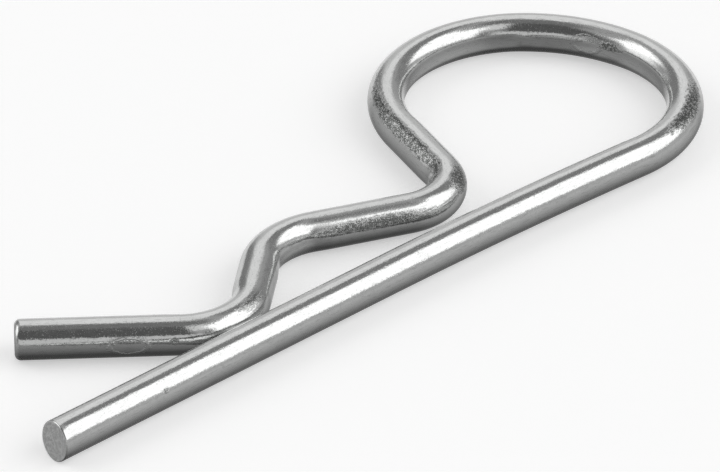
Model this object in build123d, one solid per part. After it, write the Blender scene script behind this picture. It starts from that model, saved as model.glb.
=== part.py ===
"""Spring cotter pin (R-clip) bent from one length of round wire, in millimetres.

The wire lies flat in the XY plane. The straight leg runs along +X from its free end to the
loop, the arm comes back over it on the +Y side, and the wire rests on Z = 0.
"""
from build123d import *
from math import cos, radians, sin
import os

# ---- driving dimensions (mm and degrees) ----
wire_d = 4.0          # round steel wire

leg_length = 43.0     # straight stretch of the leg, from its free end
bow_r = 520.0         # slight outward bow between the leg and the loop
bow_turn = 3.74

loop_leg_r = 14.0     # loop's bend on the leg side
loop_leg_turn = 103.6
crown_r = 17.0        # flatter stretch at the far end of the loop
crown_turn = 37.2
loop_arm_r = 14.1     # loop's bend on the arm side

knee_r = 5.9          # centreline radii of the arm's three small bends
hump_r = 8.0
pinch_r = 7.2

# direction of each straight of the arm, turned from the leg's own direction
drop_angle = 252.3    # from the loop down to the knee
rise_angle = 156.7    # from the knee up to the hump
fall_angle = 219.2    # from the hump down to the pinch
flare_angle = 139.4   # from the pinch out to the flared tip
flare_length = 15.8

shaft_d = 19.0        # shaft that the hump seats on, centred on the leg's axis
knee_gap = 2.4        # free space between the leg and the knee
pinch_gap = 0.08      # free space between the leg and the pinch

cut_turn = 6.4        # the leg's sheared end leans this far towards the arm
cut_lift = 6.0        # and this far upwards
cut_rim_r = 0.25      # rounded rim of the leg's cut end
tip_rim_r = 0.6       # rounded rim of the flared tip

# ---- heights of the arm's bends above the leg's axis, centre of wire to centre of wire ----
knee_height = wire_d + knee_gap
hump_height = shaft_d / 2 + wire_d / 2
pinch_height = wire_d + pinch_gap


def apex_drop(radius, heading):
    """Height that a bend gains or loses between a straight at this heading and its apex."""
    return radius * (1 + cos(radians(heading)))


def bend(path, radius, turn):
    """Add an arc that carries on tangentially. A positive turn is anticlockwise."""
    end = path[-1]
    path.append(JernArc(start=end @ 1, tangent=end % 1, radius=radius, arc_size=turn))


def straight(path, length):
    """Add a straight that carries on tangentially."""
    end = path[-1]
    path.append(Line(end @ 1, end @ 1 + (end % 1) * length))


def make_loop(path):
    """The bow and the three arcs of the loop, up to the straight that drops to the knee."""
    bend(path, bow_r, -bow_turn)
    bend(path, loop_leg_r, loop_leg_turn)
    bend(path, crown_r, crown_turn)
    bend(path, loop_arm_r, drop_angle + bow_turn - loop_leg_turn - crown_turn)


def make_arm(path):
    """Knee, hump and pinch. The straights between them are as long as their heights ask."""
    down = (path[-1] @ 1).Y - knee_height - apex_drop(knee_r, drop_angle)
    straight(path, down / -sin(radians(drop_angle)))
    bend(path, knee_r, rise_angle - drop_angle)

    up = hump_height - knee_height - apex_drop(knee_r, rise_angle) - apex_drop(hump_r, rise_angle)
    straight(path, up / sin(radians(rise_angle)))
    bend(path, hump_r, fall_angle - rise_angle)

    back = hump_height - pinch_height - apex_drop(hump_r, fall_angle) - apex_drop(pinch_r, fall_angle)
    straight(path, back / -sin(radians(fall_angle)))
    bend(path, pinch_r, flare_angle - fall_angle)

    straight(path, flare_length)


def make_centreline():
    """Centre of the wire, with half a diameter of spare length ahead of the leg's cut end."""
    path = [Line((-wire_d, 0), (leg_length, 0))]
    make_loop(path)
    make_arm(path)
    return path


def cut_leg_end(wire):
    """Shear the spare length off, square to a line that leans towards the arm and upwards."""
    facing = Vector(-1, 0, 0).rotate(Axis.Z, -cut_turn).rotate(Axis.Y, cut_lift)
    plane = Plane(origin=(0, 0, 0), z_dir=facing)
    return split(wire, bisect_by=plane, keep=Keep.BOTTOM)


def round_rims(wire, tip):
    """Round the rim of the two flat end faces, each by its own radius."""
    end_faces = wire.faces().filter_by(GeomType.PLANE).sort_by_distance(tip)
    wire = fillet(end_faces[0].edges(), tip_rim_r)
    end_faces = wire.faces().filter_by(GeomType.PLANE).sort_by_distance(tip)
    return fillet(end_faces[-1].edges(), cut_rim_r)


def make_spring_wire():
    """The bent wire in its rest frame: box centre on the Z axis, underside on Z = 0."""
    path = make_centreline()
    section = Plane(origin=path[0] @ 0, z_dir=path[0] % 0) * Circle(wire_d / 2)
    wire = sweep(section, path=Wire(path))
    wire = round_rims(cut_leg_end(wire), tip=path[-1] @ 1)
    box = wire.bounding_box()
    return wire.moved(Location((-box.center().X, -box.center().Y, -box.min.Z)))


def main():
    os.makedirs("parts", exist_ok=True)
    wire = make_spring_wire()
    export_step(wire, "parts/spring_wire.step")
    print("box", wire.bounding_box().size, "volume", round(wire.volume, 2), "valid", wire.is_valid)


if __name__ == "__main__":
    main()
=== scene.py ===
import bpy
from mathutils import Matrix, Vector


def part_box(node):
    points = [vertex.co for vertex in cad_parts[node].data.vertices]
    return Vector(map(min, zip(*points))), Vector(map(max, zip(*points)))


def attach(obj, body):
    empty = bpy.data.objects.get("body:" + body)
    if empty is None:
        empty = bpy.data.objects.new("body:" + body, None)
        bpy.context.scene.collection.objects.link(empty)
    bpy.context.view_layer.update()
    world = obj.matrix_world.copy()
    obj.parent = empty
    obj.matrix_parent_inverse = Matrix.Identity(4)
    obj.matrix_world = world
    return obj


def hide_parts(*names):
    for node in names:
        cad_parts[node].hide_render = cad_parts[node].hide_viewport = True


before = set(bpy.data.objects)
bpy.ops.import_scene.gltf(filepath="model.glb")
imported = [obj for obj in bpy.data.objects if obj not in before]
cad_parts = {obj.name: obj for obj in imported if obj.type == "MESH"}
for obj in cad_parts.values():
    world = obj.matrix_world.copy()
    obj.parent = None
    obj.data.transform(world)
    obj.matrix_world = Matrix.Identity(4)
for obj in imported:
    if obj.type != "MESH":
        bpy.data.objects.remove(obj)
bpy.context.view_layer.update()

from collections import namedtuple
from math import atan2, cos, hypot, pi, radians, sin, sqrt, tau

import bmesh
import bpy
from bpy.props import FloatProperty, FloatVectorProperty, IntProperty, PointerProperty
from mathutils import Matrix, Vector

bl_info = {
    "name": "Hairpin cotter pin",
    "version": (1, 0, 0),
    "blender": (4, 5, 0),
    "location": "3D View > Sidebar > Cotter Pin",
    "description": "Bends the spring wire, plates it with zinc and lights it in a small studio",
    "category": "Object",
}

NODE = "spring_wire"
BODY = "root"
MM = 0.001
UP = Vector((0, 0, 1))

OUTLINE_SAMPLES = 400   # places looked at along each stretch to find the wire's outline
TIP_SEGMENTS = 6        # facets of the rounded tip
CUT_SEGMENTS = 4        # facets of the sheared end's rim
CAP_RINGS = (0.03, 0.30, 0.30)   # widths of the rings on an end face, as shares of its radius
END_SPARE = 0.25        # wire drawn past the leg's end and sheared off, in wire diameters
END_FACING = 0.97       # how squarely a face looks out of the wire's end to count as sheared
END_CLEAR = 0.28        # stretch without rings that the end's rounding needs, in diameters
SMOOTH_ANGLE = 50       # edges that turn less than this shade smooth, in degrees


# ---------------------------------------------------------------- sizes and colours


class WireSizes(bpy.types.PropertyGroup):
    """Sizes of the bent wire: the CAD part's, but for a smaller rim on the leg's sheared end."""

    diameter: FloatProperty(
        name="Wire diameter", description="Diameter of the round wire",
        default=0.004, min=0.001, unit="LENGTH", precision=4)
    leg_length: FloatProperty(
        name="Leg", description="Straight stretch of the leg from its free end",
        default=0.043, min=0.01, unit="LENGTH", precision=4)
    bow_radius: FloatProperty(
        name="Bow radius", description="Slight outward bow between the leg and the loop",
        default=0.52, min=0.05, unit="LENGTH", precision=4)
    bow_turn: FloatProperty(
        name="Bow turn", description="How far the bow turns",
        default=radians(3.74), subtype="ANGLE")
    loop_leg_radius: FloatProperty(
        name="Loop, leg side", description="Bend of the loop next to the leg",
        default=0.014, min=0.004, unit="LENGTH", precision=4)
    loop_leg_turn: FloatProperty(
        name="Loop turn, leg side", description="How far that bend turns",
        default=radians(103.6), subtype="ANGLE")
    crown_radius: FloatProperty(
        name="Crown radius", description="Flatter stretch at the far end of the loop",
        default=0.017, min=0.004, unit="LENGTH", precision=4)
    crown_turn: FloatProperty(
        name="Crown turn", description="How far the crown turns",
        default=radians(37.2), subtype="ANGLE")
    loop_arm_radius: FloatProperty(
        name="Loop, arm side", description="Bend of the loop next to the arm",
        default=0.0141, min=0.004, unit="LENGTH", precision=4)
    knee_radius: FloatProperty(
        name="Knee radius", description="Centreline radius of the knee",
        default=0.0059, min=0.003, unit="LENGTH", precision=4)
    hump_radius: FloatProperty(
        name="Hump radius", description="Centreline radius of the hump",
        default=0.008, min=0.003, unit="LENGTH", precision=4)
    pinch_radius: FloatProperty(
        name="Pinch radius", description="Centreline radius of the pinch",
        default=0.0072, min=0.003, unit="LENGTH", precision=4)
    drop_angle: FloatProperty(
        name="Drop", description="Direction of the straight from the loop to the knee",
        default=radians(252.3), subtype="ANGLE")
    rise_angle: FloatProperty(
        name="Rise", description="Direction of the straight from the knee to the hump",
        default=radians(156.7), subtype="ANGLE")
    fall_angle: FloatProperty(
        name="Fall", description="Direction of the straight from the hump to the pinch",
        default=radians(219.2), subtype="ANGLE")
    flare_angle: FloatProperty(
        name="Flare", description="Direction of the flared tip",
        default=radians(139.4), subtype="ANGLE")
    flare_length: FloatProperty(
        name="Flare length", description="Straight from the pinch to the tip",
        default=0.0158, min=0.004, unit="LENGTH", precision=4)
    shaft_diameter: FloatProperty(
        name="Shaft", description="Shaft that the hump seats on",
        default=0.019, min=0.004, unit="LENGTH", precision=4)
    knee_gap: FloatProperty(
        name="Knee gap", description="Free space between the leg and the knee",
        default=0.0024, min=0.0, unit="LENGTH", precision=5)
    pinch_gap: FloatProperty(
        name="Pinch gap", description="Free space between the leg and the pinch",
        default=0.00008, min=0.0, unit="LENGTH", precision=5)
    cut_turn: FloatProperty(
        name="Cut turn", description="The leg's sheared end leans this far towards the arm",
        default=radians(6.4), subtype="ANGLE")
    cut_lift: FloatProperty(
        name="Cut lift", description="The leg's sheared end leans this far upwards",
        default=radians(6.0), subtype="ANGLE")
    cut_rim: FloatProperty(
        name="Cut rim", description="Rounding of the leg's sheared rim",
        default=0.00014, min=0.0, unit="LENGTH", precision=5)
    tip_rim: FloatProperty(
        name="Tip rim", description="Rounding of the flared tip's rim",
        default=0.0006, min=0.0, unit="LENGTH", precision=5)
    ring_points: IntProperty(
        name="Points round the wire", description="Corners of the wire's section",
        default=80, min=16, max=128)
    step: FloatProperty(
        name="Step", description="Distance between the wire's rings",
        default=0.00032, min=0.0001, unit="LENGTH", precision=5)


class ZincFinish(bpy.types.PropertyGroup):
    """Colours and gloss of the plated wire and of its sheared ends."""

    plate: FloatVectorProperty(
        name="Plating", description="Bright zinc", subtype="COLOR", size=3,
        default=(0.70, 0.705, 0.70), min=0, max=1)
    tarnish: FloatVectorProperty(
        name="Tarnish", description="Faint darker clouds and streaks in the zinc",
        subtype="COLOR", size=3, default=(0.47, 0.475, 0.47), min=0, max=1)
    # Painted shade as well as tool wear: dark zinc, set this dark to damp the left box's
    # reflection on the dulled marks, as on the drop.
    dull_and_shade: FloatVectorProperty(
        name="Dulled plating", description="Zinc where the bending tools dulled it",
        subtype="COLOR", size=3, default=(0.17, 0.175, 0.17), min=0, max=1)
    bare: FloatVectorProperty(
        name="Sheared steel", description="Grey grain of the sheared ends", subtype="COLOR",
        size=3, default=(0.80, 0.805, 0.80), min=0, max=1)
    gloss: FloatProperty(
        name="Roughness", description="Roughness of clean plating", default=0.10, min=0, max=1)
    scuffed_gloss: FloatProperty(
        name="Scuffed roughness", description="Roughness of scuffed plating", default=0.34,
        min=0, max=1)
    streak_depth: FloatProperty(
        name="Streak depth", description="Relief of the drawing streaks, peak to valley",
        default=0.000013, min=0, unit="LENGTH", precision=7)
    peel_depth: FloatProperty(
        name="Peel depth", description="Relief of the plating's fine unevenness",
        default=0.000011, min=0, unit="LENGTH", precision=7)
    speck_gloss: FloatProperty(
        name="Speck roughness", description="Roughness added by the plating's fine specks",
        default=0.22, min=0, max=1)


class StudioSetup(bpy.types.PropertyGroup):
    """Camera, floor and lights."""

    camera_place: FloatVectorProperty(
        name="Camera", description="Where the camera stands", subtype="TRANSLATION", size=3,
        default=(-0.42275, -0.44596, 0.36817))
    camera_aim: FloatVectorProperty(
        name="Aim", description="Point that the camera looks at", subtype="TRANSLATION",
        size=3, default=(-0.00040, -0.00665, 0.002))
    lens: FloatProperty(
        name="Lens", description="Focal length in millimetres", default=363.7, min=20)
    floor_tone: FloatProperty(
        name="Floor tone", description="How pale the floor is", default=0.86, min=0, max=1)
    floor_glow: FloatProperty(
        name="Floor glow", description="Light from under the white floor", default=0.42, min=0)
    box_light: FloatProperty(
        name="Soft boxes", description="Brightness of the two soft boxes", default=1.55, min=0)
    back_light: FloatProperty(
        name="Back light", description="Brightness of the pale wall behind", default=0.90, min=0)
    card_light: FloatProperty(
        name="Card", description="Brightness of the low card in front", default=0.64, min=0)
    shade: FloatProperty(
        name="Shade", description="Brightness of the dark room above the camera",
        default=0.11, min=0)


# ---------------------------------------------------------------- the wire's centre line


class Stretch:
    """One straight or bend of the centre line. Distances are in metres, angles in radians."""

    def __init__(self, name, start, heading, at, length, curve=0.0):
        self.name = name
        self.start = start
        self.heading = heading
        self.at = at
        self.length = length
        self.curve = curve

    def place(self, along):
        """Point and heading at this distance into the stretch."""
        turn = self.heading + self.curve * along
        if not self.curve:
            return self.start + along * Vector((cos(turn), sin(turn))), turn
        radius = 1 / self.curve
        step = Vector((sin(turn) - sin(self.heading), cos(self.heading) - cos(turn)))
        return self.start + radius * step, turn

    def centre(self):
        """Centre of a bend."""
        side = Vector((-sin(self.heading), cos(self.heading)))
        return self.start + side / self.curve


def apex_drop(radius, heading):
    """Height between a straight at this heading and the top or bottom of its bend."""
    return radius * (1 + cos(heading))


def centre_line(z):
    """The wire's straights and bends, from the leg's end at (0, 0) to the flared tip."""
    line = []

    def add(name, length, curve=0.0):
        if line:
            start, heading = line[-1].place(line[-1].length)
            at = line[-1].at + line[-1].length
        else:
            start, heading, at = Vector((0, 0)), 0.0, 0.0
        line.append(Stretch(name, start, heading, at, length, curve))

    def bend(name, radius, turn):
        add(name, radius * abs(turn), (1 if turn > 0 else -1) / radius)

    knee_height = z.diameter + z.knee_gap
    hump_height = (z.shaft_diameter + z.diameter) / 2
    pinch_height = z.diameter + z.pinch_gap
    add("leg", z.leg_length)
    bend("bow", z.bow_radius, -z.bow_turn)
    bend("loop_leg", z.loop_leg_radius, z.loop_leg_turn)
    bend("crown", z.crown_radius, z.crown_turn)
    bend("loop_arm", z.loop_arm_radius,
         z.drop_angle + z.bow_turn - z.loop_leg_turn - z.crown_turn)
    top = line[-1].place(line[-1].length)[0].y
    add("drop", (top - knee_height - apex_drop(z.knee_radius, z.drop_angle))
        / -sin(z.drop_angle))
    bend("knee", z.knee_radius, z.rise_angle - z.drop_angle)
    add("rise", (hump_height - knee_height - apex_drop(z.knee_radius, z.rise_angle)
                 - apex_drop(z.hump_radius, z.rise_angle)) / sin(z.rise_angle))
    bend("hump", z.hump_radius, z.fall_angle - z.rise_angle)
    add("fall", (hump_height - pinch_height - apex_drop(z.hump_radius, z.fall_angle)
                 - apex_drop(z.pinch_radius, z.fall_angle)) / -sin(z.fall_angle))
    bend("pinch", z.pinch_radius, z.flare_angle - z.fall_angle)
    add("flare", z.flare_length)
    return line


def rest_offset(line, z):
    """Moves the leg's end from (0, 0) to where the CAD part has it."""
    samples = [s.place(s.length * i / OUTLINE_SAMPLES)[0]
               for s in line for i in range(OUTLINE_SAMPLES + 1)]
    low, high = (Vector(c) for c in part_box(NODE))
    right = max(p.x for p in samples) + z.diameter / 2
    far = max(p.y for p in samples) + z.diameter / 2
    return Vector((high.x - right, high.y - far, low.z + z.diameter / 2))


# ---------------------------------------------------------------- tools at the bench


def nothing_selected():
    """Leave edit mode and deselect everything."""
    if bpy.context.mode != "OBJECT":
        bpy.ops.object.mode_set(mode="OBJECT")
    bpy.ops.object.select_all(action="DESELECT")


def wire_ring(z, offset, start_x):
    """A circle across the leg, the first ring of the wire."""
    nothing_selected()
    bpy.ops.mesh.primitive_circle_add(
        vertices=z.ring_points, radius=z.diameter / 2, fill_type="NOTHING",
        location=offset + Vector((start_x, 0, 0)), rotation=(0, pi / 2, 0))
    bpy.ops.object.transform_apply(location=True, rotation=True, scale=True)
    return bpy.context.object


def draw_straight(stretch, length, steps):
    """Extrude the selected ring along a straight."""
    ahead = Vector((cos(stretch.heading), sin(stretch.heading), 0))
    step = ahead * (length / steps)
    bpy.ops.mesh.extrude_repeat(steps=steps, offset=step)


def draw_bend(stretch, offset, steps):
    """Spin the selected ring round the centre of a bend."""
    centre = offset + stretch.centre().to_3d()
    turn = stretch.curve * stretch.length
    bpy.ops.mesh.spin(steps=steps, angle=-turn, center=centre, axis=UP)


def cut_plane(z):
    """Which way the leg's sheared end faces."""
    facing = Vector((-1, 0, 0))
    facing.rotate(Matrix.Rotation(-z.cut_turn, 3, "Z"))
    facing.rotate(Matrix.Rotation(z.cut_lift, 3, "Y"))
    return facing


def ring_the_cap(radius):
    """Inset the end face that was just bevelled, so that it shades flat up to its rim."""
    mesh = bmesh.from_edit_mesh(bpy.context.edit_object.data)
    cap = max(mesh.faces, key=lambda face: face.select * len(face.verts))
    for face in mesh.faces:
        face.select_set(face is cap)
    bmesh.update_edit_mesh(bpy.context.edit_object.data)
    for share in CAP_RINGS:
        bpy.ops.mesh.inset(thickness=radius * share)


def build_tube(z, line, offset):
    """Draw the wire ring by ring, shear the leg's end and close and round both ends."""
    spare, clear = z.diameter * END_SPARE, z.diameter * END_CLEAR
    wire = wire_ring(z, offset, -spare)
    bpy.ops.object.mode_set(mode="EDIT")
    bpy.ops.mesh.select_all(action="SELECT")
    for stretch in line:
        steps = max(2, round(stretch.length / z.step))
        if stretch.name == "leg":
            draw_straight(stretch, spare + clear, 1)
            draw_straight(stretch, stretch.length - clear, steps)
        elif stretch.name == "flare":
            draw_straight(stretch, stretch.length - clear, steps)
            draw_straight(stretch, clear, 1)
        elif stretch.curve:
            draw_bend(stretch, offset, steps)
        else:
            draw_straight(stretch, stretch.length, steps)
    bpy.ops.mesh.edge_face_add()
    bpy.ops.mesh.bevel(offset=z.tip_rim, segments=TIP_SEGMENTS, affect="EDGES")
    ring_the_cap(z.diameter / 2 - z.tip_rim)
    bpy.ops.mesh.select_all(action="SELECT")
    bpy.ops.mesh.bisect(plane_co=offset, plane_no=cut_plane(z), use_fill=True,
                        clear_outer=True)
    bpy.ops.mesh.bevel(offset=z.cut_rim, segments=CUT_SEGMENTS, affect="EDGES")
    ring_the_cap(z.diameter / 2 - z.cut_rim)
    bpy.ops.mesh.select_all(action="SELECT")
    bpy.ops.mesh.normals_make_consistent(inside=False)
    bpy.ops.object.mode_set(mode="OBJECT")
    return wire


def on_the_cut(face, line, offset, z):
    """Whether a face is one of the two sheared ends."""
    tip, heading = line[-1].place(line[-1].length)
    ends = ((offset, cut_plane(z)),
            (offset + tip.to_3d(), Vector((cos(heading), sin(heading), 0))))
    return any((face.center - end).length < z.diameter and face.normal.dot(facing) > END_FACING
               for end, facing in ends)


# ---------------------------------------------------------------- places on the wire


class WireMap:
    """Finds where a point lies along and across the wire."""

    def __init__(self, line, offset):
        self.line = line
        self.offset = offset

    def place(self, co):
        """(distance along, sideways to the right of travel, height above the centre line)."""
        point = Vector((co.x - self.offset.x, co.y - self.offset.y))
        nearest = None
        for stretch in self.line:
            along, side = self.beside(stretch, point)
            before = 0 if stretch is self.line[0] else -along
            after = 0 if stretch is self.line[-1] else along - stretch.length
            away = hypot(side, max(before, after, 0))
            if nearest is None or away < nearest[0]:
                nearest = (away, stretch.at + along, side)
        return nearest[1], nearest[2], co.z - self.offset.z

    def beside(self, stretch, point):
        """Distance into the stretch and to the right of it."""
        if not stretch.curve:
            ahead = Vector((cos(stretch.heading), sin(stretch.heading)))
            way = point - stretch.start
            return way.dot(ahead), way.dot(Vector((ahead.y, -ahead.x)))
        sign = 1 if stretch.curve > 0 else -1
        first = stretch.start - stretch.centre()
        spoke = point - stretch.centre()
        swept = sign * atan2(first.x * spoke.y - first.y * spoke.x, first.dot(spoke))
        radius = first.length
        return swept * radius, sign * (spoke.length - radius)


def ease(x):
    """Smooth step from 0 to 1."""
    x = min(max(x, 0.0), 1.0)
    return x * x * (3 - 2 * x)


def soft_positive(x, blur):
    """x where it is above 0 and 0 where it is below, with a rounded corner."""
    return (x + sqrt(x * x + blur * blur)) / 2


# Each bend's inner side, pressed by the bending pin: how far the section is squeezed
# to an oval, and how deep the flat on it is, in metres.
PRESSED_BENDS = {
    "loop_leg": (0.00018, 0.00018), "crown": (0.00004, 0.00010), "loop_arm": (0.00018, 0.00018),
    "knee": (0.00015, 0.00006), "hump": (0.00018, 0.00004), "pinch": (0.00026, 0.00006),
}
PRESS_RUN_IN = 0.0035    # length over which a bend's squeeze begins and ends
FLAT_CORNER = 0.00002    # softness of the flats' edges
LEAST_FACING = 0.3       # keeps the flats' formula finite far round the wire
SKIN = 0.97              # share of the wire's radius past which a point is on its outside


def bend_press(line, along, angle, radius):
    """How far the bends' flats sink the surface here. The angle is 0 on top, + to the right."""
    sunk = 0.0
    for stretch in line:
        if stretch.name not in PRESSED_BENDS:
            continue
        inside = min(along - stretch.at, stretch.at + stretch.length - along)
        share = ease(inside / PRESS_RUN_IN + 0.5)
        inner = -pi / 2 if stretch.curve > 0 else pi / 2
        facing = cos(angle - inner)
        if share > 0 and facing > 0:
            oval, flat = (share * depth for depth in PRESSED_BENDS[stretch.name])
            chord = radius - (radius - flat) / max(facing, LEAST_FACING)
            sunk += oval * facing * facing
            sunk += share * soft_positive(chord, FLAT_CORNER)
    return sunk


class Mark:
    """A place where the tools touched the wire. Its dulled share darkens the zinc: partly wear,
    partly painted shade.
    """

    def __init__(self, along, angle, length, width, depth=0.0, scuffed=0.0, dulled_and_shaded=0.0,
                 outlined=0.0):
        self.along = along
        self.angle = angle
        self.length = length
        self.width = width
        self.depth = depth
        self.scuffed = scuffed
        self.dulled_and_shaded = dulled_and_shaded
        self.outlined = outlined

    def cover(self, along, angle, radius):
        """1 at the middle of the mark, 0 outside it."""
        turned = (angle - radians(self.angle) + pi) % tau - pi
        return ease(1.6 - 1.6 * hypot((along - self.along) / (self.length / 2),
                                      turned * radius / (self.width / 2)))


# Distances along the wire from the leg's end in metres, angles round it in degrees
# (0 on top, + to the right of travel), then the mark's length, width and depth, and its
# scuffed, dulled and outlined shares. The dulled share darkens the zinc: partly tool wear,
# partly painted shade that damps the left box's reflection, as on the drop.
MARKS = (
    Mark(0.0002, 225, 0.0040, 0.0034, depth=0.00015),
    Mark(0.0126, 62, 0.0008, 0.0005, depth=0.00003, dulled_and_shaded=0.6),
    Mark(0.0855, 30, 0.0095, 0.0016, scuffed=0.7, dulled_and_shaded=1.0),
    Mark(0.0920, 304, 0.0028, 0.0012, depth=0.00006, scuffed=0.5),
    Mark(0.1028, 292, 0.0030, 0.0008, scuffed=0.3, dulled_and_shaded=0.9),
    Mark(0.1058, 281, 0.0034, 0.0019, depth=0.00006, outlined=0.7),
    Mark(0.1096, 289, 0.0060, 0.0003, outlined=0.8),
    Mark(0.1450, 36, 0.0210, 0.0015, scuffed=0.6, dulled_and_shaded=1.0),
    Mark(0.1538, 315, 0.0036, 0.0022, scuffed=0.3, dulled_and_shaded=0.9),
    Mark(0.1645, 296, 0.0110, 0.0011, scuffed=0.4, dulled_and_shaded=0.8),
    Mark(0.1880, 327, 0.0034, 0.0011, dulled_and_shaded=0.6),
    Mark(0.1958, 284, 0.0009, 0.0006, depth=0.00003, dulled_and_shaded=0.8),
    Mark(0.2002, 271, 0.0036, 0.0018, depth=0.00003, outlined=1.0),
)


def store(mesh, name, kind, values):
    """Keep a value for each vertex on the mesh, for the materials."""
    attribute = mesh.attributes.new(name, kind, "POINT")
    attribute.data.foreach_set("vector" if kind == "FLOAT_VECTOR" else "value", values)


def mark_wire(wire, line, offset, z):
    """Store each vertex's place on the wire, in millimetres, and say how far it is pressed in."""
    where = WireMap(line, offset)
    places, sunk = [], []
    for vertex in wire.data.vertices:
        along, side, up = where.place(vertex.co)
        angle = atan2(side, up)
        radius = z.diameter / 2
        outside = hypot(side, up) > radius * SKIN
        dents = sum(mark.depth * mark.cover(along, angle, radius) for mark in MARKS if mark.depth)
        places += (along / MM, side / MM, up / MM)
        sunk.append(bend_press(line, along, angle, radius) + dents if outside else 0.0)
    store(wire.data, "wire_place", "FLOAT_VECTOR", places)
    return sunk


def press_wire(wire, sunk):
    """Press the flats and dents into the wire with a Displace modifier."""
    deepest = max(sunk)
    group = wire.vertex_groups.new(name="pressed")
    for index, depth in enumerate(sunk):
        group.add([index], depth / deepest, "REPLACE")
    press = wire.modifiers.new("press", "DISPLACE")
    press.vertex_group = group.name
    press.direction = "NORMAL"
    press.mid_level = 0
    press.strength = -deepest
    bpy.ops.object.modifier_apply(modifier=press.name)
    wire.vertex_groups.clear()


# ---------------------------------------------------------------- node building


def add(tree, kind, inputs=(), **settings):
    """Add a node. Each input is a value or another node's output socket."""
    node = tree.nodes.new("ShaderNode" + kind)
    for name, value in settings.items():
        setattr(node, name, value)
    for name, value in dict(inputs).items():
        if isinstance(value, bpy.types.NodeSocket):
            tree.links.new(value, node.inputs[name])
        else:
            node.inputs[name].default_value = value
    return node


def maths(tree, operation, *values):
    """A Math node's output."""
    return add(tree, "Math", dict(enumerate(values)), operation=operation).outputs[0]


def ramp(tree, value, low, high, to_low=0.0, to_high=1.0, smooth=True):
    """A clamped Map Range node's output."""
    return add(tree, "MapRange", {"Value": value, "From Min": low, "From Max": high,
                                  "To Min": to_low, "To Max": to_high},
               interpolation_type="SMOOTHSTEP" if smooth else "LINEAR").outputs["Result"]


def blend(tree, share, first, second):
    """Mix two values."""
    mix = add(tree, "Mix", {0: share, 2: first, 3: second}, data_type="FLOAT")
    return mix.outputs[0]


def tint(tree, share, first, second):
    """Mix two colours."""
    mix = add(tree, "Mix", {0: share, 6: first, 7: second}, data_type="RGBA")
    return mix.outputs[2]


def noise(tree, vector, scale, detail=2.0, roughness=0.5):
    """A Noise Texture's value."""
    return add(tree, "TexNoise", {"Vector": vector, "Scale": scale, "Detail": detail,
                                  "Roughness": roughness}).outputs["Fac"]


def new_group(name, inputs, outputs):
    """A shader node group with these named sockets, and its input and output nodes."""
    tree = bpy.data.node_groups.new(name, "ShaderNodeTree")
    for socket, default in inputs.items():
        kind = "NodeSocketVector" if default is None else "NodeSocketFloat"
        made = tree.interface.new_socket(name=socket, in_out="INPUT", socket_type=kind)
        if default is not None:
            made.default_value = default
    for socket in outputs:
        tree.interface.new_socket(name=socket, in_out="OUTPUT", socket_type="NodeSocketFloat")
    given = tree.nodes.new("NodeGroupInput").outputs
    made = tree.nodes.new("NodeGroupOutput").inputs
    return tree, given, made


def place_group(tree, group, inputs):
    """Place a node group in a tree."""
    node = tree.nodes.new("ShaderNodeGroup")
    node.node_tree = group
    for name, value in inputs.items():
        if isinstance(value, bpy.types.NodeSocket):
            tree.links.new(value, node.inputs[name])
        else:
            node.inputs[name].default_value = value
    return node.outputs


# ---------------------------------------------------------------- finish of the metal


MARK_RELIEF = 2.5        # relief of the tool marks, in depths of the plating's unevenness
TORN_RELIEF = 6          # relief of the sheared ends, in the same depths
OUTLINE_RELIEF = 1.5     # relief of a mark's thin outline against that of its scratches


def metal_grain_group():
    """Fine unevenness of a metal surface: its relief and its specks, both from 0 to 1."""
    tree, given, made = new_group(
        "metal_grain", {"Place": None, "Coarse": 3.0, "Fine": 9.0, "Fine Share": 0.4},
        ("Relief", "Specks"))
    coarse = noise(tree, given["Place"], given["Coarse"], detail=2.0)
    fine = noise(tree, given["Place"], given["Fine"], detail=1.5)
    tree.links.new(blend(tree, given["Fine Share"], coarse, fine), made["Relief"])
    tree.links.new(ramp(tree, fine, 0.58, 0.70), made["Specks"])
    return tree


def drawing_streaks_group():
    """Streaks along the wire from drawing it through a die: relief and dark lines."""
    tree, given, made = new_group("drawing_streaks", {"Place": None}, ("Relief", "Lines"))
    stretched = add(tree, "Mapping", {"Vector": given["Place"], "Scale": (0.18, 1, 1)})
    vector = stretched.outputs[0]
    wide = noise(tree, vector, 2.2, detail=3.0, roughness=0.6)
    narrow = noise(tree, vector, 5.5, detail=2.5, roughness=0.6)
    tree.links.new(blend(tree, 0.4, wide, narrow), made["Relief"])
    tree.links.new(ramp(tree, narrow, 0.54, 0.66), made["Lines"])
    return tree


def tool_mark_group(radius):
    """An oval mark on the wire: its cover, ragged at the edge, and its thin outline."""
    tree, given, made = new_group(
        "tool_mark", {"Place": None, "Along": 0.0, "Angle": 0.0, "Length": 1.0, "Width": 1.0,
                      "Ragged": 0.5}, ("Cover", "Outline"))
    place = add(tree, "SeparateXYZ", {0: given["Place"]}).outputs
    angle = maths(tree, "DEGREES", maths(tree, "ARCTAN2", place[1], place[2]))
    turned = maths(tree, "WRAP", maths(tree, "SUBTRACT", angle, given["Angle"]), 180.0, -180.0)
    arc = maths(tree, "MULTIPLY", turned, radians(1) * radius / MM)
    ahead = maths(tree, "SUBTRACT", place[0], given["Along"])

    def share(distance, size):
        part = maths(tree, "DIVIDE", distance, maths(tree, "MULTIPLY", size, 0.5))
        return maths(tree, "MULTIPLY", part, part)

    away = maths(tree, "SQRT", maths(tree, "ADD", share(ahead, given["Length"]),
                                     share(arc, given["Width"])))
    uneven = maths(tree, "SUBTRACT", given["Ragged"], 0.5)
    frayed = maths(tree, "MULTIPLY_ADD", uneven, 2.2, away)
    tree.links.new(ramp(tree, frayed, 1.15, 0.75), made["Cover"])
    wavy = maths(tree, "MULTIPLY_ADD", uneven, 0.5, away)
    off_line = maths(tree, "ABSOLUTE", maths(tree, "SUBTRACT", wavy, 1.0))
    tree.links.new(ramp(tree, off_line, 0.20, 0.05), made["Outline"])
    return tree


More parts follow.
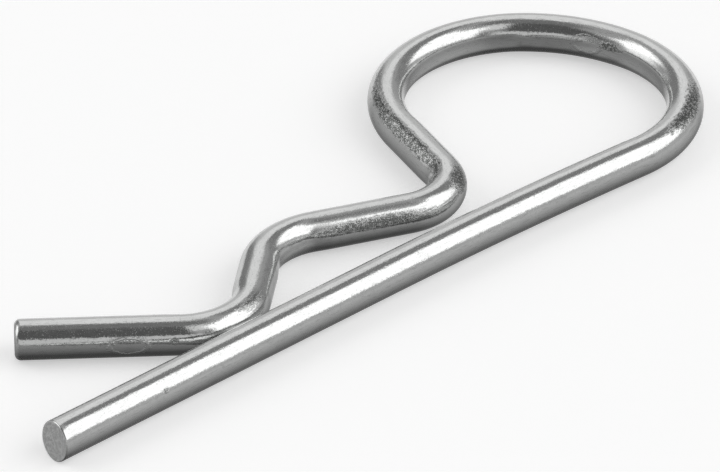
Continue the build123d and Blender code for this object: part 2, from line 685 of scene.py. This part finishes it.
def zinc_material(finish, grain, streaks, tool_mark):
    """Bright zinc over drawn wire, scuffed where the bending tools pressed, and darkened where
    they dulled it, partly as painted shade.
    """
    material = bpy.data.materials.new("bright_zinc")
    material.use_nodes = True
    tree = material.node_tree
    shader = tree.nodes["Principled BSDF"]
    place = add(tree, "Attribute", attribute_name="wire_place").outputs["Vector"]
    peel = place_group(tree, grain, {"Place": place, "Coarse": 2.6, "Fine": 7.0,
                                     "Fine Share": 0.65})
    drawn = place_group(tree, streaks, {"Place": place})
    clouds = noise(tree, place, 0.45, detail=4.0, roughness=0.6)
    stretched = add(tree, "Mapping", {"Vector": place, "Scale": (0.45, 1, 1)}).outputs[0]
    ragged = noise(tree, stretched, 3.4, detail=4.0, roughness=0.75)

    # Masks of the marks: scuffed for roughness, outlined for relief, dulled for colour, which is
    # wear and painted shade.
    wear_and_shade_masks = {"scuffed": 0.0, "dulled_and_shaded": 0.0, "outlined": 0.0}
    for mark in MARKS:
        shares = {kind: getattr(mark, kind) for kind in wear_and_shade_masks if getattr(mark, kind)}
        if not shares:
            continue
        spot = place_group(tree, tool_mark, {
            "Place": place, "Along": mark.along / MM, "Angle": mark.angle,
            "Length": mark.length / MM, "Width": mark.width / MM, "Ragged": ragged})
        for kind, share in shares.items():
            mask = spot["Outline" if kind == "outlined" else "Cover"]
            here = maths(tree, "MULTIPLY", mask, share)
            wear_and_shade_masks[kind] = maths(tree, "MAXIMUM", wear_and_shade_masks[kind], here)
    scuffed, dulled_and_shaded, outlined = wear_and_shade_masks.values()

    stain = maths(tree, "MULTIPLY", ramp(tree, clouds, 0.42, 0.75), 0.25)
    stain = maths(tree, "MAXIMUM", stain, maths(tree, "MULTIPLY", drawn["Lines"], 0.50))
    stain = maths(tree, "MAXIMUM", stain, maths(tree, "MULTIPLY", peel["Specks"], 0.40))
    colour = tint(tree, stain, (*finish.plate, 1), (*finish.tarnish, 1))
    # Painted shade as well as wear: the dulled marks turn the zinc dark, damping the left box's
    # reflection.
    wear_and_painted_shade = maths(tree, "MULTIPLY", dulled_and_shaded, ramp(tree, peel["Relief"], 0.60, 0.48))
    colour = tint(tree, wear_and_painted_shade, colour, (*finish.dull_and_shade, 1))
    tree.links.new(colour, shader.inputs["Base Color"])
    shader.inputs["Metallic"].default_value = 1.0
    worn = maths(tree, "MAXIMUM", scuffed, maths(tree, "MULTIPLY", dulled_and_shaded, 0.6))
    clean = blend(tree, clouds, finish.gloss * 0.7, finish.gloss * 1.5)
    clean = maths(tree, "MULTIPLY_ADD", peel["Specks"], finish.speck_gloss, clean)
    tree.links.new(blend(tree, worn, clean, finish.scuffed_gloss), shader.inputs["Roughness"])

    peel_bump = add(tree, "Bump", {"Height": peel["Relief"], "Distance": finish.peel_depth})
    streak_bump = add(tree, "Bump", {"Height": drawn["Relief"],
                                     "Distance": finish.streak_depth,
                                     "Normal": peel_bump.outputs[0]})
    scratched = maths(tree, "MULTIPLY_ADD", maths(tree, "MAXIMUM", scuffed, dulled_and_shaded),
                      peel["Relief"], maths(tree, "MULTIPLY", outlined, OUTLINE_RELIEF))
    mark_bump = add(tree, "Bump", {"Height": scratched,
                                   "Distance": finish.peel_depth * MARK_RELIEF,
                                   "Normal": streak_bump.outputs[0]})
    tree.links.new(mark_bump.outputs[0], shader.inputs["Normal"])
    return material


def sheared_material(finish, grain):
    """Grey torn grain of the sheared ends."""
    material = bpy.data.materials.new("sheared_end")
    material.use_nodes = True
    tree = material.node_tree
    shader = tree.nodes["Principled BSDF"]
    place = add(tree, "Attribute", attribute_name="wire_place").outputs["Vector"]
    torn = place_group(tree, grain, {"Place": place, "Coarse": 2.0, "Fine": 7.0,
                                     "Fine Share": 0.5})
    patches = noise(tree, place, 3.2, detail=4.0, roughness=0.7)
    share = ramp(tree, patches, 0.35, 0.68)
    dark = [value * 0.82 for value in finish.bare]
    pale = [value * 1.15 for value in finish.bare]
    colour = tint(tree, share, (*dark, 1), (*pale, 1))
    colour = tint(tree, maths(tree, "MULTIPLY", torn["Specks"], 0.5), colour, (*finish.plate, 1))
    tree.links.new(colour, shader.inputs["Base Color"])
    shader.inputs["Metallic"].default_value = 1.0
    tree.links.new(ramp(tree, torn["Relief"], 0.3, 0.7, 0.65, 0.5), shader.inputs["Roughness"])
    bump = add(tree, "Bump", {"Height": torn["Relief"],
                              "Distance": finish.peel_depth * TORN_RELIEF})
    tree.links.new(bump.outputs[0], shader.inputs["Normal"])
    return material


# ---------------------------------------------------------------- studio


def soft_card_group():
    """A soft-edged card in the sky: 1 on the card, 0 beside it. Angles in degrees."""
    tree, given, made = new_group(
        "soft_card",
        {"Bearing": 0.0, "Height": 0.0, "Centre": 0.0, "Half Width": 10.0, "Bottom": 0.0,
         "Top": 10.0, "Side Blur": 5.0, "Edge Blur": 5.0}, ("Mask",))
    turned = maths(tree, "SUBTRACT", given["Bearing"], given["Centre"])
    turned = maths(tree, "ABSOLUTE", maths(tree, "WRAP", turned, 180.0, -180.0))

    def edge(value, at, blur):
        inner = maths(tree, "SUBTRACT", at, blur)
        outer = maths(tree, "ADD", at, blur)
        return ramp(tree, value, inner, outer)

    side = maths(tree, "SUBTRACT", 1.0, edge(turned, given["Half Width"], given["Side Blur"]))
    above = edge(given["Height"], given["Bottom"], given["Edge Blur"])
    below = maths(tree, "SUBTRACT", 1.0, edge(given["Height"], given["Top"], given["Edge Blur"]))
    tree.links.new(maths(tree, "MULTIPLY", side, maths(tree, "MULTIPLY", above, below)),
                   made["Mask"])
    return tree


# A pale or dark surface round the wire. Bearings run from the camera's side, + to its
# right, and heights from the table. Angles are in degrees.
Card = namedtuple("Card", "centre half_width bottom top side_blur edge_blur bright")

ROOM_LIGHT = 0.40        # what no card covers
TABLE_LIGHT = 0.32       # the table at the horizon on the camera's side
TABLE_SHADE = 0.065      # the table straight below
HORIZON_BLUR = 0.6       # half height of the blend where table meets wall, in degrees


def studio_cards(studio):
    """The cards round the wire. Each lies over those before it."""
    return (
        Card(0, 200, 71, 110, 10, 4, 0.20),                     # dark ceiling
        Card(180, 16, -5, 27, 5, 3, 0.62),                      # low part of the wall behind
        Card(180, 17, 24, 66, 5, 3, studio.back_light),         # wall behind
        Card(-150, 12, -4, 38, 5, 5, 0.24),                     # gap, back left
        Card(135, 15, -4, 40, 5, 5, 0.28),                      # gap, back right
        Card(148, 17, 34, 60, 4, 4, 0.25),                      # gap, high back right
        Card(-22, 44, 28, 80, 8, 4, studio.shade),              # dark room over the camera
        Card(-55, 9, 0, 34, 5, 5, 0.27),                        # gap, front left
        Card(42, 20, 44, 76, 6, 6, 0.76),                       # pale patch high front right
        Card(41, 7, 3, 32, 4, 4, 0.22),                         # gap, front right
        Card(-2, 33, -4, 28.5, 4, 2, studio.card_light),        # low card in front
        Card(-97, 18, 9, 30, 8, 5, studio.box_light * 0.75),    # foot of the left box
        Card(-104, 27, 26, 54, 6, 5, studio.box_light),         # left box
        Card(86, 37, -4, 17, 6, 3, 0.50),                       # under the right box
        Card(86, 38, 17, 60, 5, 2.5, studio.box_light),         # right box
    )


def build_sky(studio, toward):
    """The room round the wire as a world shader, turned to face the camera's side."""
    world = bpy.data.worlds.new("studio")
    world.use_nodes = True
    tree = world.node_tree
    soft_card = soft_card_group()
    way = add(tree, "TexCoord").outputs["Generated"]
    turned = add(tree, "VectorRotate", {"Vector": way, "Angle": -atan2(toward.y, toward.x)},
                 rotation_type="Z_AXIS")
    xyz = add(tree, "SeparateXYZ", {0: turned.outputs[0]}).outputs
    bearing = maths(tree, "DEGREES", maths(tree, "ARCTAN2", xyz[1], xyz[0]))
    height = maths(tree, "DEGREES", maths(tree, "ARCSINE", xyz[2]))
    sky = ROOM_LIGHT
    for card in studio_cards(studio):
        mask = place_group(tree, soft_card, {
            "Bearing": bearing, "Height": height, "Centre": card.centre,
            "Half Width": card.half_width, "Bottom": card.bottom, "Top": card.top,
            "Side Blur": card.side_blur, "Edge Blur": card.edge_blur})
        sky = blend(tree, mask["Mask"], sky, card.bright)

    table = ramp(tree, height, 0, -75, TABLE_LIGHT, TABLE_SHADE, smooth=False)
    right_side = ramp(tree, xyz[1], 0.3, 0.95, 0.0, 0.80)
    left_side = ramp(tree, xyz[1], -0.3, -0.95, 0.0, 0.40)
    brighter = maths(tree, "ADD", 1.0, maths(tree, "ADD", right_side, left_side))
    table = maths(tree, "MULTIPLY", table, brighter)
    behind = maths(tree, "MULTIPLY", ramp(tree, xyz[0], -0.72, -0.93, 0.0, 0.50),
                   ramp(tree, height, -72, -50))
    table = maths(tree, "ADD", table, behind)
    horizon = ramp(tree, height, -HORIZON_BLUR, HORIZON_BLUR)
    tree.links.new(blend(tree, horizon, table, sky), tree.nodes["Background"].inputs["Color"])
    return world


SENSOR = 36         # width of the camera's film, in millimetres
FLOOR_SIZE = 6      # in metres


def camera_in(studio, scene):
    """Put the camera in its place."""
    data = bpy.data.cameras.new("camera")
    data.sensor_width = SENSOR
    data.lens = studio.lens
    data.clip_start = 0.01
    data.clip_end = 20
    camera = bpy.data.objects.new("camera", data)
    scene.collection.objects.link(camera)
    place, aim = Vector(studio.camera_place), Vector(studio.camera_aim)
    camera.location = place
    camera.rotation_euler = (aim - place).to_track_quat("-Z", "Y").to_euler()
    scene.camera = camera


def floor_in(studio):
    """Lay a plain pale floor."""
    nothing_selected()
    bpy.ops.mesh.primitive_plane_add(size=FLOOR_SIZE, location=(0, 0, 0))
    floor = bpy.context.object
    floor.name = "floor"
    paint = bpy.data.materials.new("floor_paint")
    paint.use_nodes = True
    shader = paint.node_tree.nodes["Principled BSDF"]
    shader.inputs["Base Color"].default_value = (*(studio.floor_tone,) * 3, 1)
    shader.inputs["Roughness"].default_value = 0.9
    shader.inputs["Emission Color"].default_value = (1, 1, 1, 1)
    shader.inputs["Emission Strength"].default_value = studio.floor_glow
    floor.data.materials.append(paint)
    floor.visible_glossy = False


# ---------------------------------------------------------------- operators


class PIN_OT_bend_wire(bpy.types.Operator):
    """Bend the round spring wire into the hairpin, with its flattened bends and tool marks"""

    bl_idname = "cotter_pin.bend_wire"
    bl_label = "Bend wire"

    def execute(self, context):
        z = context.scene.cotter_wire
        line = centre_line(z)
        offset = rest_offset(line, z)
        wire = build_tube(z, line, offset)
        wire.name = wire.data.name = "bent_wire"
        press_wire(wire, mark_wire(wire, line, offset, z))
        nothing_selected()
        wire.select_set(True)
        context.view_layer.objects.active = wire
        bpy.ops.object.shade_smooth_by_angle(angle=radians(SMOOTH_ANGLE))
        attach(wire, BODY)
        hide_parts(NODE)
        if not wire.data.polygons:
            raise RuntimeError("the wire has no faces")
        return {"FINISHED"}


class PIN_OT_plate_wire(bpy.types.Operator):
    """Give the wire its bright zinc plating and its grey sheared ends"""

    bl_idname = "cotter_pin.plate_wire"
    bl_label = "Plate wire"

    def execute(self, context):
        finish = context.scene.cotter_finish
        z = context.scene.cotter_wire
        line = centre_line(z)
        offset = rest_offset(line, z)
        wire = bpy.data.objects["bent_wire"]
        grain = metal_grain_group()
        wire.data.materials.clear()
        zinc = zinc_material(finish, grain, drawing_streaks_group(),
                             tool_mark_group(z.diameter / 2))
        wire.data.materials.append(zinc)
        wire.data.materials.append(sheared_material(finish, grain))
        for face in wire.data.polygons:
            if on_the_cut(face, line, offset, z):
                face.material_index = 1
        return {"FINISHED"}


class PIN_OT_set_studio(bpy.types.Operator):
    """Set up the pale floor, the soft studio light and the camera"""

    bl_idname = "cotter_pin.set_studio"
    bl_label = "Set studio"

    def execute(self, context):
        studio = context.scene.cotter_studio
        scene = context.scene
        camera_in(studio, scene)
        floor_in(studio)
        toward = Vector(studio.camera_place) - Vector(studio.camera_aim)
        scene.world = build_sky(studio, toward)
        scene.view_settings.view_transform = "Standard"
        return {"FINISHED"}


class PIN_PT_panel(bpy.types.Panel):
    """Lists the steps and the sizes of the cotter pin"""

    bl_idname = "PIN_PT_panel"
    bl_label = "Cotter Pin"
    bl_space_type = "VIEW_3D"
    bl_region_type = "UI"
    bl_category = "Cotter Pin"

    def draw(self, context):
        layout = self.layout
        for operator in STEPS:
            layout.operator(operator.bl_idname)
        for group in ("cotter_wire", "cotter_finish", "cotter_studio"):
            box = layout.box()
            settings = getattr(context.scene, group)
            for name in settings.__annotations__:
                box.prop(settings, name)


STEPS = (PIN_OT_bend_wire, PIN_OT_plate_wire, PIN_OT_set_studio)
GROUPS = {"cotter_wire": WireSizes, "cotter_finish": ZincFinish, "cotter_studio": StudioSetup}


def register():
    for kind in (*GROUPS.values(), *STEPS, PIN_PT_panel):
        bpy.utils.register_class(kind)
    for name, kind in GROUPS.items():
        setattr(bpy.types.Scene, name, PointerProperty(type=kind))


def unregister():
    for name in GROUPS:
        delattr(bpy.types.Scene, name)
    for kind in (PIN_PT_panel, *reversed(STEPS), *GROUPS.values()):
        bpy.utils.unregister_class(kind)


def main():
    register()
    bpy.ops.cotter_pin.bend_wire()
    bpy.ops.cotter_pin.plate_wire()
    bpy.ops.cotter_pin.set_studio()


if __name__ == "__main__":
    main()
